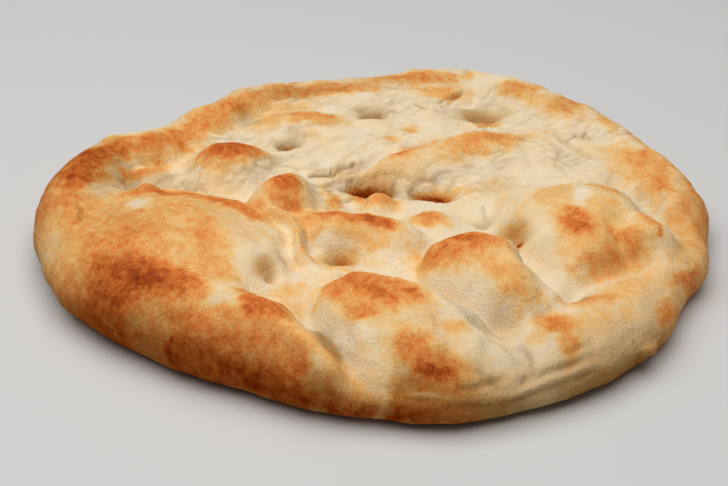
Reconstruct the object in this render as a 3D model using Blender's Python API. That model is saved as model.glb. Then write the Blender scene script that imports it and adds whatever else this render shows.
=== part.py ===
"""Ramadan pide: a round, dimpled, leavened flatbread, about 300 mm across and 38 mm high.

The loaf is one solid. Its top is a height over the plan: pressed dough, a rim all the way round, and
pillows and rolls of risen dough, merged softly. Finger marks, creases and a slow unevenness are taken
from that. The top turns over a rounded edge and runs in to a flat base at z = 0.

In the plan, +X is right and +Y is away from the near side. Azimuths are in degrees, counter-clockwise
from +X. The tables are in millimetres and the mesh is in metres. The origin is the middle of the base.
"""
from collections import namedtuple
from math import cos, pi, radians, sin

import bmesh
import bpy
import numpy as np

MM = 0.001
NODE = "bread"

# ---- driving dimensions, millimetres ---------------------------------------------------------------

FLOOR = 16.0          # height from which pillows, rolls and the rim rise
MERGE = 1.1           # how softly two neighbours run into each other
MERGE_WITH_GROUND = 1.8
SWAY = 1.0            # sideways wander of every form
SWAY_WAVES = (90.0, 24.0)
SWELL = 0.27          # rise and fall of the whole top
SWELL_WAVES = (40.0, 14.0)
WAVE_COUNT = 10

# Radius of the plan, every 10 degrees from azimuth 0.
OUTLINE = [152, 150, 147, 149, 151, 155, 159, 157, 149, 140, 138, 138, 137, 134, 130, 129, 133, 146,
           150, 150, 148, 148, 145, 142, 141, 141, 146, 149, 155, 155, 155, 154, 152, 147, 150, 149]

# The rim: its crest lies half a width inside the outline.
Rim = namedtuple("Rim", "azimuth height width")
RIM = [
    Rim(0, 23, 26), Rim(15, 25.5, 30), Rim(30, 26, 36), Rim(45, 25, 40), Rim(60, 26, 36),
    Rim(78, 27, 32), Rim(92, 24.5, 32), Rim(105, 25, 32), Rim(120, 28.5, 34), Rim(135, 27, 40),
    Rim(147, 28, 42), Rim(157, 32, 42), Rim(166, 35, 42), Rim(176, 34, 44), Rim(188, 30, 44),
    Rim(200, 31, 46),
    Rim(222, 32, 46), Rim(238, 33, 42), Rim(250, 32, 36), Rim(260, 26, 32), Rim(268, 17, 26),
    Rim(276, 20, 36), Rim(288, 21, 42), Rim(300, 22, 40), Rim(315, 22.5, 37), Rim(327, 23, 33),
    Rim(336, 23, 30), Rim(348, 22, 26),
]
RIM_LEAST_RISE = 5.0
RIM_OUTER_REACH = 1.6     # how much wider the rim's outer side is than its inner side
RIM_FULLNESS = 2.4

# The rounded edge: how far in the top starts to turn down, the height of the widest line, and how far
# in the base starts.
Edge = namedtuple("Edge", "azimuth roll widest tuck")
EDGE = [
    Edge(0, 16, 10, 9), Edge(60, 17, 11, 10), Edge(130, 18, 12, 11), Edge(180, 20, 13, 12),
    Edge(225, 24, 14, 14), Edge(248, 17, 13, 12), Edge(266, 12, 12, 11), Edge(280, 18, 11, 12),
    Edge(300, 19, 11, 12), Edge(335, 17, 10.5, 10),
]

# Height of the pressed dough between the pillows, at some places.
Level = namedtuple("Level", "x y height")
LEVELS = [
    Level(-120, 0, 22), Level(-98, 4, 22), Level(-74, 6, 21), Level(-56, -6, 20), Level(-80, 42, 23),
    Level(-54, 50, 22.5), Level(-34, 36, 24), Level(-14, 36, 25.5), Level(-8, 56, 26), Level(16, 50, 24.5),
    Level(-66, 74, 24), Level(-34, 96, 23.5), Level(0, 84, 24), Level(26, 80, 25), Level(24, 66, 25),
    Level(54, 84, 23), Level(50, 66, 24), Level(78, 76, 23.5), Level(76, 52, 24), Level(104, 50, 22.5),
    Level(100, 26, 22.5), Level(82, 20, 23.5), Level(62, 4, 23), Level(116, 6, 20.5), Level(126, -22, 20),
    Level(46, -18, 21), Level(30, -12, 19.5), Level(14, 2, 17.5), Level(-4, 2, 17.5), Level(-20, 0, 20.5),
    Level(-34, 12, 21.5), Level(-52, -20, 21), Level(14, -60, 19.5), Level(-10, -62, 19.5),
    Level(-30, -62, 21.5), Level(-40, -84, 21), Level(-24, -84, 22.5), Level(-20, -118, 18),
    Level(58, -46, 20), Level(72, -74, 18.5), Level(28, -96, 19), Level(48, -112, 18), Level(100, -78, 20),
    Level(128, -58, 20),
]
LEVEL_REACH = 18.0    # how far a level carries
FAR_WEIGHT = 1e-4     # share of FLOOR in a level, so that it stays defined far from LEVELS

# Pillows of dough: half an ellipse's length ahead of and behind the centre along the turned axis, and
# to its left and right; fullness is how flat-topped a pillow is.
Pillow = namedtuple("Pillow", "name x y turn ahead behind left right height fullness")
PILLOWS = [
    Pillow("west", -82, -58, 0, 56, 58, 64, 60, 37, 2.4),
    Pillow("west_shoulder", -98, -34, 20, 44, 40, 42, 40, 32, 2.4),
    Pillow("west_top", -98, -16, 6, 16, 18, 9, 12, 34, 2.0),
    Pillow("west_near", -84, -92, -30, 50, 40, 40, 40, 34, 2.4),
    Pillow("southwest", -60, -104, -42, 44, 44, 20, 36, 34, 2.2),
    Pillow("south", 8, -99, -20, 44, 40, 11, 56, 35, 2.1),
    Pillow("heart", 45, -74, -47, 44, 25, 12, 26, 36.5, 2.7),
    Pillow("east", 90, -28, -6, 31, 40, 40, 58, 34, 2.6),
    Pillow("east_tip", 112, -46, -50, 22, 26, 20, 16, 31, 2.4),
    Pillow("middle_small", 24, -28, 10, 20, 18, 12, 16, 24.5, 2.0),
    Pillow("nub", -40, -10, 70, 22, 26, 16, 16, 35.5, 2.2),
    Pillow("bead", 3, -6, 0, 10, 9, 8, 12, 24, 2.4),
    Pillow("northwest", -64, 24, 4, 28, 29, 20, 28, 35, 2.1),
    Pillow("far", -32, 70, 0, 32, 32, 17, 22, 28.5, 2.2),
]

# Long rolls of dough along a path of (x, y, height, half width).
Roll = namedtuple("Roll", "name path")
ROLL_FULLNESS = 2.0
ROLLS = [
    Roll("south_roll", [(-55, -106, 34, 18), (-43, -114, 33, 14), (-32, -122, 31.5, 13),
                        (-24, -130, 30, 11), (-19, -137, 29.5, 10), (-12, -143, 28.5, 10)]),
    Roll("middle", [(-31, -29, 27, 14), (-18, -36, 29, 16), (-4, -40, 30.5, 18), (9, -43, 28.5, 16)]),
    Roll("south", [(-10, -97, 31, 14), (1, -99, 35.5, 17), (12, -107, 33.5, 16), (23, -118, 30, 15),
                   (34, -128, 27, 15), (46, -137, 20, 12)]),
    Roll("heart", [(27, -65, 32, 9), (41, -64, 37.5, 12), (51, -75, 36, 12), (62, -88, 32.5, 11),
                   (71, -97, 27, 10), (78, -102, 22.5, 9)]),
    Roll("north", [(3, 24, 27, 12), (20, 27, 29.5, 19), (38, 31, 31, 24), (54, 37, 31, 26),
                   (66, 38, 29, 25), (78, 33, 25.5, 22)]),
    Roll("arm", [(-34, 8, 24.5, 6), (-24, 12, 24, 6), (-12, 15, 24, 6), (-2, 21, 25, 8)]),
    Roll("collar", [(-50, -24, 31, 9), (-39, -31, 29, 8), (-33, -42, 27.5, 6), (-30, -56, 25.5, 5),
                    (-24, -66, 24, 5), (-15, -76, 24, 6)]),
    Roll("west_fold", [(-126, 7, 26, 9), (-112, 14, 26, 8), (-100, 17, 25.5, 7), (-88, 20, 22, 7)]),
]

# Marks of the baker's fingertips.
Mark = namedtuple("Mark", "x y radius depth")
MARKS = [
    Mark(-41, 49, 5.5, 9), Mark(0, 85, 8, 8), Mark(-13, -57, 8, 5),
    Mark(-25, -47, 6, 2), Mark(80, -90, 5, 4), Mark(50, -111, 9, 4), Mark(58, -41, 9, 5),
]
MARK_STEEPNESS = 1.2

# Creases along a path of (x, y).
Crease = namedtuple("Crease", "name depth half_width path")
CREASES = [
    Crease("south_fold", 6.5, 4.6, [(-29, -92), (-24, -106), (-17, -119), (-8, -133), (1, -151)]),
    Crease("east_near", 4, 5, [(80, -86), (92, -76), (106, -66), (120, -56)]),
    Crease("east_rim", 3, 6, [(107, 13), (121, 4), (126, -18), (130, -44), (130, -57)]),
    Crease("hole", 9, 4.5, [(-9, 10), (0, 10), (10, 8)]),
    Crease("hole_right", 5, 4, [(19, 6), (27, 4), (36, -1)]),
    Crease("plateau_foot", 5.5, 3.0, [(-34, 10), (-24, 11), (-15, 15), (-8, 20), (-3, 27), (2, 34)]),
    Crease("northwest_groove", 4, 5, [(-69, 66), (-64, 75), (-59, 83), (-54, 91)]),
    Crease("far_mark", 6, 6, [(46, 77), (55, 82), (66, 84)]),
    Crease("west_far", 4, 7, [(-128, 0), (-110, 5), (-92, 7), (-76, 6)]),
    Crease("rim_fold", 3, 3, [(34, 90), (42, 95), (50, 101)]),
    Crease("west_pit", 6, 3.2, [(-45, -81), (-42, -73)]),
    Crease("heart_notch", 3, 5, [(53, -124), (56, -138), (60, -152)]),
]
CREASE_END_DEPTH = 0.35   # share of a crease's depth that is left at its ends

# ---- fineness of the mesh --------------------------------------------------------------------------

TOP_CELLS = 68        # grid cells across the top
SMEAR = 3.4           # the top's height is evened out over this far, left, right, near and far
EDGE_RINGS = 4        # rings of faces from the widest line down to the base
EDGE_ARC = 1.45       # length of the rounded edge along its surface, for each unit of its width

# ---- finish ----------------------------------------------------------------------------------------

CRUST_COLOUR = (0.72, 0.42, 0.16, 1.0)
CRUST_ROUGHNESS = 0.62


def along_rim(table, azimuth, field):
    """A table's field at each azimuth, eased from one row to the next and closed round the loaf."""
    knots = np.array([row.azimuth for row in table], float)
    values = np.array([getattr(row, field) for row in table], float)
    knots = np.concatenate([[knots[-1] - 360], knots, [knots[0] + 360]])
    values = np.concatenate([values[-1:], values, values[:1]])
    azimuth = np.mod(azimuth, 360)
    low = np.clip(np.searchsorted(knots, azimuth, side="right") - 1, 0, len(knots) - 2)
    part = (azimuth - knots[low]) / (knots[low + 1] - knots[low])
    part = part * part * (3 - 2 * part)
    return values[low] * (1 - part) + values[low + 1] * part


def outline(azimuth):
    """Radius of the plan: a closed Catmull-Rom curve through OUTLINE."""
    radii = np.array(OUTLINE, float)
    count = len(radii)
    place = np.mod(azimuth, 360) / 360 * count
    step = np.floor(place).astype(int)
    part = place - step
    a, b, c, d = (radii[(step + k) % count] for k in (-1, 0, 1, 2))
    return b + 0.5 * part * (c - a + part * (2 * a - 5 * b + 4 * c - d
                                             + part * (3 * (b - c) + d - a)))


def waves(x, y, longest_shortest, seed):
    """A slow unevenness: plane waves with seeded directions, from the longest to the shortest."""
    longest, shortest = longest_shortest
    draw = np.random.RandomState(seed)
    total = np.zeros_like(x)
    for k in range(WAVE_COUNT):
        length = longest * (shortest / longest) ** (k / (WAVE_COUNT - 1))
        way, phase = draw.uniform(0, 2 * pi, 2)
        wave = np.sin(2 * pi / length * (x * cos(way) + y * sin(way)) + phase)
        total += wave * (length / longest) ** 0.5
    return total


def swell(distance, fullness):
    """1 at the middle, 0 at distance 1, and falling steadily outside."""
    return np.where(distance < 1, 1 - distance ** fullness, (1 - distance) * fullness)


def pillow_height(x, y, pillow):
    """Height of one pillow over the plan."""
    turn = radians(pillow.turn)
    dx, dy = x - pillow.x, y - pillow.y
    along = dx * cos(turn) + dy * sin(turn)
    across = dy * cos(turn) - dx * sin(turn)
    along = along / np.where(along > 0, pillow.ahead, pillow.behind)
    across = across / np.where(across > 0, pillow.left, pillow.right)
    return FLOOR + (pillow.height - FLOOR) * swell(np.hypot(along, across), pillow.fullness)


def segments(x, y, path):
    """For each segment of a path: the distance to it, and its rows blended at the nearest point."""
    rows = np.array(path, float)
    for start, end in zip(rows[:-1], rows[1:]):
        run = end[:2] - start[:2]
        part = np.clip(((x - start[0]) * run[0] + (y - start[1]) * run[1]) / (run @ run), 0, 1)
        blend = [start[k] + part * (end[k] - start[k]) for k in range(len(start))]
        yield np.hypot(x - blend[0], y - blend[1]), blend


def roll_height(x, y, roll):
    """Height of one roll over the plan."""
    heights = [FLOOR + (height - FLOOR) * swell(distance / half_width, ROLL_FULLNESS)
               for distance, (_, _, height, half_width) in segments(x, y, roll.path)]
    return np.max(heights, axis=0)


def crease_depth(x, y, crease):
    """Depth of one crease over the plan, shallow at both ends."""
    points = np.array(crease.path, float)
    lengths = np.hypot(*np.diff(points, axis=0).T)
    shares = np.concatenate([[0], np.cumsum(lengths)]) / lengths.sum()
    depths = []
    for distance, (_, _, share) in segments(x, y, np.column_stack([points, shares])):
        fade = np.sqrt(np.clip(4 * share * (1 - share), 0, 1))
        fade = CREASE_END_DEPTH + (1 - CREASE_END_DEPTH) * fade
        depths.append(fade * np.exp(-(distance / crease.half_width) ** 2))
    return crease.depth * np.max(depths, axis=0)


def mark_depth(x, y, mark):
    """Depth of one finger mark over the plan."""
    squared = ((x - mark.x) ** 2 + (y - mark.y) ** 2) / mark.radius ** 2
    return mark.depth * np.exp(-MARK_STEEPNESS * squared)


def rim_height(x, y):
    """Height of the rim over the plan: it falls away faster towards the middle of the loaf."""
    azimuth = np.degrees(np.arctan2(y, x))
    inset = outline(azimuth) - np.hypot(x, y)
    height = along_rim(RIM, azimuth, "height")
    crest = 0.5 * along_rim(RIM, azimuth, "width")
    distance = np.abs(inset - crest) / np.where(inset > crest, crest, RIM_OUTER_REACH * crest)
    return height - np.maximum(height - FLOOR, RIM_LEAST_RISE) * (1 - swell(distance, RIM_FULLNESS))


def ground_height(x, y):
    """Height of the pressed dough over the plan: LEVELS, eased from one to the next."""
    weights = [np.exp(-((x - level.x) ** 2 + (y - level.y) ** 2) / LEVEL_REACH ** 2) for level in LEVELS]
    total = FAR_WEIGHT * FLOOR + sum(weight * level.height for weight, level in zip(weights, LEVELS))
    return total / (FAR_WEIGHT + sum(weights))


def merged(forms, softness):
    """The highest of some forms at each point, with the creases between them filled softly."""
    highest = np.max(forms, axis=0)
    return highest + softness * np.log(sum(np.exp((form - highest) / softness) for form in forms))


def top_height(x, y):
    """Height of the loaf's top over the plan, before its edge is rounded."""
    x, y = x + SWAY * waves(x, y, SWAY_WAVES, 1), y + SWAY * waves(x, y, SWAY_WAVES, 2)
    forms = [rim_height(x, y)]
    forms += [pillow_height(x, y, pillow) for pillow in PILLOWS]
    forms += [roll_height(x, y, roll) for roll in ROLLS]
    height = merged([merged(forms, MERGE), ground_height(x, y)], MERGE_WITH_GROUND)
    height += SWELL * waves(x, y, SWELL_WAVES, 3)
    height -= sum(mark_depth(x, y, mark) for mark in MARKS)
    height -= sum(crease_depth(x, y, crease) for crease in CREASES)
    return height


def even_height(x, y):
    """Mean of the top's height over about one grid cell, so that a coarse grid has no ragged creases."""
    weights = {-1: 0.25, 0: 0.5, 1: 0.25}
    return sum(weights[a] * weights[b] * top_height(x + SMEAR * a, y + SMEAR * b)
               for a in weights for b in weights)


def square_to_disk(a, b):
    """Carries the square from -1 to 1 to the unit disk: each square ring becomes a round one."""
    wide = np.abs(a) > np.abs(b)
    reach = np.where(wide, a, b)
    with np.errstate(divide="ignore", invalid="ignore"):
        lean = np.nan_to_num(np.where(wide, b / a, a / b)) * pi / 4
    angle = np.where(wide, lean, pi / 2 - lean) + np.where(reach < 0, pi, 0)
    return np.abs(reach), angle


def top_points(share, angle):
    """Points of the top at a share of the way out along the surface, down to the widest line."""
    azimuth = np.degrees(angle)
    radius = outline(azimuth)
    roll = along_rim(EDGE, azimuth, "roll")
    widest = along_rim(EDGE, azimuth, "widest")
    flat = radius - roll
    travel = share * (flat + EDGE_ARC * roll)
    bend = np.clip((travel - flat) / (EDGE_ARC * roll), 0, 1) * pi / 2
    reach = np.minimum(travel, flat) + roll * np.sin(bend)
    x, y = reach * np.cos(angle), reach * np.sin(angle)
    return x, y, widest + (even_height(x, y) - widest) * np.cos(bend)


def edge_points(angle, share):
    """Points of the underside of the edge, from the widest line (share 0) to the base (share 1)."""
    azimuth = np.degrees(angle)
    bend = share * pi / 2
    reach = outline(azimuth) - along_rim(EDGE, azimuth, "tuck") * (1 - cos(bend))
    return reach * np.cos(angle), reach * np.sin(angle), along_rim(EDGE, azimuth, "widest") * (1 - sin(bend))


def place(verts, points):
    """Moves vertices to points given in millimetres."""
    for vert, point in zip(verts, np.column_stack(points) * MM):
        vert.co = point


def loaf_mesh():
    """The closed loaf: a grid bent over the top, rings pulled down round its edge, and a base."""
    bm = bmesh.new()
    bmesh.ops.create_grid(bm, x_segments=TOP_CELLS, y_segments=TOP_CELLS, size=1.0)
    square = np.array([vert.co for vert in bm.verts], float)
    share, angle = square_to_disk(square[:, 0], square[:, 1])
    place(bm.verts, top_points(share, angle))
    ring = [edge for edge in bm.edges if edge.is_boundary]
    for step in range(1, EDGE_RINGS + 1):
        pulled = bmesh.ops.extrude_edge_only(bm, edges=ring)["geom"]
        verts = [item for item in pulled if isinstance(item, bmesh.types.BMVert)]
        ring = [item for item in pulled if isinstance(item, bmesh.types.BMEdge) and item.is_boundary]
        angle = np.array([np.arctan2(vert.co.y, vert.co.x) for vert in verts])
        place(verts, edge_points(angle, step / EDGE_RINGS))
    bmesh.ops.contextual_create(bm, geom=ring)
    bmesh.ops.triangulate(bm, faces=bm.faces, quad_method="SHORT_EDGE")
    bmesh.ops.recalc_face_normals(bm, faces=bm.faces)
    return bm


def centre_on_origin(bm):
    """Moves the loaf so that the middle of its bounding box is over the origin."""
    points = np.array([vert.co for vert in bm.verts], float)
    middle = (points.min(axis=0) + points.max(axis=0)) / 2
    bmesh.ops.translate(bm, verts=bm.verts, vec=(-middle[0], -middle[1], 0))


def crust_material():
    """Baked dough: warm, dull and slightly rough."""
    material = bpy.data.materials.new("baked_dough")
    material.use_nodes = True
    shader = material.node_tree.nodes["Principled BSDF"]
    shader.inputs["Base Color"].default_value = CRUST_COLOUR
    shader.inputs["Roughness"].default_value = CRUST_ROUGHNESS
    shader.inputs["Metallic"].default_value = 0.0
    return material


def make_bread():
    """The loaf as one object."""
    bm = loaf_mesh()
    centre_on_origin(bm)
    mesh = bpy.data.meshes.new(NODE)
    bm.to_mesh(mesh)
    bm.free()
    mesh.shade_smooth()
    mesh.materials.append(crust_material())
    bread = bpy.data.objects.new(NODE, mesh)
    bpy.context.scene.collection.objects.link(bread)


def clear_scene():
    """Removes the scene's own objects."""
    for item in list(bpy.data.objects):
        bpy.data.objects.remove(item, do_unlink=True)


clear_scene()
make_bread()
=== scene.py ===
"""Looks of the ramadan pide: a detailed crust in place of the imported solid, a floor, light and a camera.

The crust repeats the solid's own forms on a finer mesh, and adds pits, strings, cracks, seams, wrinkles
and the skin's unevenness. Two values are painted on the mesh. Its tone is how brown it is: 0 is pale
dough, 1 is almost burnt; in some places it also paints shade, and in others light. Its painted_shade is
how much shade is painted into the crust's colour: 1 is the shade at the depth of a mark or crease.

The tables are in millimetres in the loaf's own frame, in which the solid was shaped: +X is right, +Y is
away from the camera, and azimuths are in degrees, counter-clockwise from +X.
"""
from collections import namedtuple
from itertools import product
from math import cos, pi, radians, sin

import bpy
import numpy as np
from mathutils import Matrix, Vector


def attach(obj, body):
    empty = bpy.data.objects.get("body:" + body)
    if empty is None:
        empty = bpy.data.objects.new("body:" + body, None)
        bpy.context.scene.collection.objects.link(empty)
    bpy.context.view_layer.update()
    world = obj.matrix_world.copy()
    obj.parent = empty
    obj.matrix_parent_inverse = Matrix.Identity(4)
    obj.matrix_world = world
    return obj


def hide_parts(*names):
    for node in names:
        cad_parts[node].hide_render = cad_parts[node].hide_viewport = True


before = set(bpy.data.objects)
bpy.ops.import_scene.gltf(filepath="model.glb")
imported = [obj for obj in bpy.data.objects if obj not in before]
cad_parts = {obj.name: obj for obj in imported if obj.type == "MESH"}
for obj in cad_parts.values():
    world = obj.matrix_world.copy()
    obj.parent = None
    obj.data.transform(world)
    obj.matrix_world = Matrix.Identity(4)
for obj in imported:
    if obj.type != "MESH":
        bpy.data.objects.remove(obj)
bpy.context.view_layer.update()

MM = 0.001

# ---- the loaf's forms, as in the solid, millimetres ----

FLOOR = 16.0          # height from which pillows, rolls and the rim rise
MERGE = 1.1           # how softly two neighbours run into each other
MERGE_WITH_GROUND = 1.8
SWAY = 1.0            # sideways wander of every form
SWAY_WAVES = (90.0, 24.0)
SWAY_SEEDS = (1, 2)   # along x and along y
SWELL = 0.27          # rise and fall of the whole top
SWELL_WAVES = (40.0, 14.0)
SWELL_SEED = 3
WAVE_COUNT = 10

# Radius of the plan, every 10 degrees from azimuth 0.
OUTLINE = [152, 150, 147, 149, 151, 155, 159, 157, 149, 140, 138, 138, 137, 134, 130, 129, 133, 146,
           150, 150, 148, 148, 145, 142, 141, 141, 146, 149, 155, 155, 155, 154, 152, 147, 150, 149]

# The rim: its crest lies half a width inside the outline.
Rim = namedtuple("Rim", "azimuth height width")
RIM = [Rim(*row) for row in (
    (0, 23, 26), (15, 25.5, 30), (30, 26, 36), (45, 25, 40), (60, 26, 36), (78, 27, 32), (92, 24.5, 32),
    (105, 25, 32), (120, 28.5, 34), (135, 27, 40), (147, 28, 42), (157, 32, 42), (166, 35, 42),
    (176, 34, 44), (188, 30, 44), (200, 31, 46), (222, 32, 46), (238, 33, 42), (250, 32, 36),
    (260, 26, 32), (268, 17, 26), (276, 20, 36), (288, 21, 42), (300, 22, 40), (315, 22.5, 37),
    (327, 23, 33), (336, 23, 30), (348, 22, 26),
)]
RIM_LEAST_RISE = 5.0
RIM_OUTER_REACH = 1.6     # how much wider the rim's outer side is than its inner side
RIM_FULLNESS = 2.4

# The rounded edge: how far in the top starts to turn down, the height of the widest line, and how far
# in the base starts.
Edge = namedtuple("Edge", "azimuth roll widest tuck")
EDGE = [Edge(*row) for row in (
    (0, 16, 10, 9), (60, 17, 11, 10), (130, 18, 12, 11), (180, 20, 13, 12),
    (225, 24, 14, 14), (248, 17, 13, 12), (266, 12, 12, 11), (280, 18, 11, 12),
    (300, 19, 11, 12), (335, 17, 10.5, 10),
)]

# Height of the pressed dough between the pillows, at some places.
Level = namedtuple("Level", "x y height")
LEVELS = [Level(*row) for row in (
    (-120, 0, 22), (-98, 4, 22), (-74, 6, 21), (-56, -6, 20), (-80, 42, 23), (-54, 50, 22.5),
    (-34, 36, 24), (-14, 36, 25.5), (-8, 56, 26), (16, 50, 24.5), (-66, 74, 24), (-34, 96, 23.5),
    (0, 84, 24), (26, 80, 25), (24, 66, 25), (54, 84, 23), (50, 66, 24), (78, 76, 23.5), (76, 52, 24),
    (104, 50, 22.5), (100, 26, 22.5), (82, 20, 23.5), (62, 4, 23), (116, 6, 20.5), (126, -22, 20),
    (46, -18, 21), (30, -12, 19.5), (14, 2, 17.5), (-4, 2, 17.5), (-20, 0, 20.5), (-34, 12, 21.5),
    (-52, -20, 21), (14, -60, 19.5), (-10, -62, 19.5), (-30, -62, 21.5), (-40, -84, 21), (-24, -84, 22.5),
    (-20, -118, 18), (58, -46, 20), (72, -74, 18.5), (28, -96, 19), (48, -112, 18), (100, -78, 20),
    (128, -58, 20),
)]
LEVEL_REACH = 18.0    # how far a level carries
FAR_WEIGHT = 1e-4     # share of FLOOR in a level, so that it stays defined far from LEVELS

# Pillows of dough: half an ellipse's length ahead of and behind the centre along the turned axis, and
# to its left and right; fullness is how flat-topped a pillow is.
Pillow = namedtuple("Pillow", "name x y turn ahead behind left right height fullness")
PILLOWS = [Pillow(*row) for row in (
    ("west", -82, -58, 0, 56, 58, 64, 60, 37, 2.4),
    ("west_shoulder", -98, -34, 20, 44, 40, 42, 40, 32, 2.4),
    ("west_top", -98, -16, 6, 16, 18, 9, 12, 34, 2.0),
    ("west_near", -84, -92, -30, 50, 40, 40, 40, 34, 2.4),
    ("southwest", -60, -104, -42, 44, 44, 20, 36, 34, 2.2),
    ("south", 8, -99, -20, 44, 40, 11, 56, 35, 2.1),
    ("heart", 45, -74, -47, 44, 25, 12, 26, 36.5, 2.7),
    ("east", 90, -28, -6, 31, 40, 40, 58, 34, 2.6),
    ("east_tip", 112, -46, -50, 22, 26, 20, 16, 31, 2.4),
    ("middle_small", 24, -28, 10, 20, 18, 12, 16, 24.5, 2.0),
    ("nub", -40, -10, 70, 22, 26, 16, 16, 35.5, 2.2),
    ("bead", 3, -6, 0, 10, 9, 8, 12, 24, 2.4),
    ("northwest", -64, 24, 4, 28, 29, 20, 28, 35, 2.1),
    ("far", -32, 70, 0, 32, 32, 17, 22, 28.5, 2.2),
)]

# Long rolls of dough along a path of (x, y, height, half width).
Roll = namedtuple("Roll", "name path")
ROLL_FULLNESS = 2.0
ROLLS = [Roll(*row) for row in (
    ("south_roll", [(-55, -106, 34, 18), (-43, -114, 33, 14), (-32, -122, 31.5, 13),
                    (-24, -130, 30, 11), (-19, -137, 29.5, 10), (-12, -143, 28.5, 10)]),
    ("middle", [(-31, -29, 27, 14), (-18, -36, 29, 16), (-4, -40, 30.5, 18), (9, -43, 28.5, 16)]),
    ("south", [(-10, -97, 31, 14), (1, -99, 35.5, 17), (12, -107, 33.5, 16), (23, -118, 30, 15),
               (34, -128, 27, 15), (46, -137, 20, 12)]),
    ("heart", [(27, -65, 32, 9), (41, -64, 37.5, 12), (51, -75, 36, 12), (62, -88, 32.5, 11),
               (71, -97, 27, 10), (78, -102, 22.5, 9)]),
    ("north", [(3, 24, 27, 12), (20, 27, 29.5, 19), (38, 31, 31, 24), (54, 37, 31, 26),
               (66, 38, 29, 25), (78, 33, 25.5, 22)]),
    ("arm", [(-34, 8, 24.5, 6), (-24, 12, 24, 6), (-12, 15, 24, 6), (-2, 21, 25, 8)]),
    ("collar", [(-50, -24, 31, 9), (-39, -31, 29, 8), (-33, -42, 27.5, 6), (-30, -56, 25.5, 5),
                (-24, -66, 24, 5), (-15, -76, 24, 6)]),
    ("west_fold", [(-126, 7, 26, 9), (-112, 14, 26, 8), (-100, 17, 25.5, 7), (-88, 20, 22, 7)]),
)]

# Marks of the baker's fingertips.
Mark = namedtuple("Mark", "x y radius depth")
MARKS = [Mark(*row) for row in (
    (-41, 49, 5.5, 9), (0, 85, 8, 8), (-13, -57, 8, 5),
    (-25, -47, 6, 2), (80, -90, 5, 4), (50, -111, 9, 4), (58, -41, 9, 5),
)]
MARK_STEEPNESS = 1.2

# Creases along a path of (x, y).
Crease = namedtuple("Crease", "name depth half_width path")
CREASES = [Crease(*row) for row in (
    ("south_fold", 6.5, 4.6, [(-29, -92), (-24, -106), (-17, -119), (-8, -133), (1, -151)]),
    ("east_near", 4, 5, [(80, -86), (92, -76), (106, -66), (120, -56)]),
    ("east_rim", 3, 6, [(107, 13), (121, 4), (126, -18), (130, -44), (130, -57)]),
    ("hole", 9, 4.5, [(-9, 10), (0, 10), (10, 8)]),
    ("hole_right", 5, 4, [(19, 6), (27, 4), (36, -1)]),
    ("plateau_foot", 5.5, 3.0, [(-34, 10), (-24, 11), (-15, 15), (-8, 20), (-3, 27), (2, 34)]),
    ("northwest_groove", 4, 5, [(-69, 66), (-64, 75), (-59, 83), (-54, 91)]),
    ("far_mark", 6, 6, [(46, 77), (55, 82), (66, 84)]),
    ("west_far", 4, 7, [(-128, 0), (-110, 5), (-92, 7), (-76, 6)]),
    ("rim_fold", 3, 3, [(34, 90), (42, 95), (50, 101)]),
    ("west_pit", 6, 3.2, [(-45, -81), (-42, -73)]),
    ("heart_notch", 3, 5, [(53, -124), (56, -138), (60, -152)]),
)]
CREASE_END_DEPTH = 0.35   # share of a crease's depth that is left at its ends

# ---- fine forms on the top, millimetres ----

# Small pits.
PITS = [Mark(-35, -66, 3.5, 3.0), Mark(48, -28, 3.0, 2.5), Mark(20, 60, 3.0, 1.2), Mark(11, 55, 4.0, 1.0)]

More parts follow.
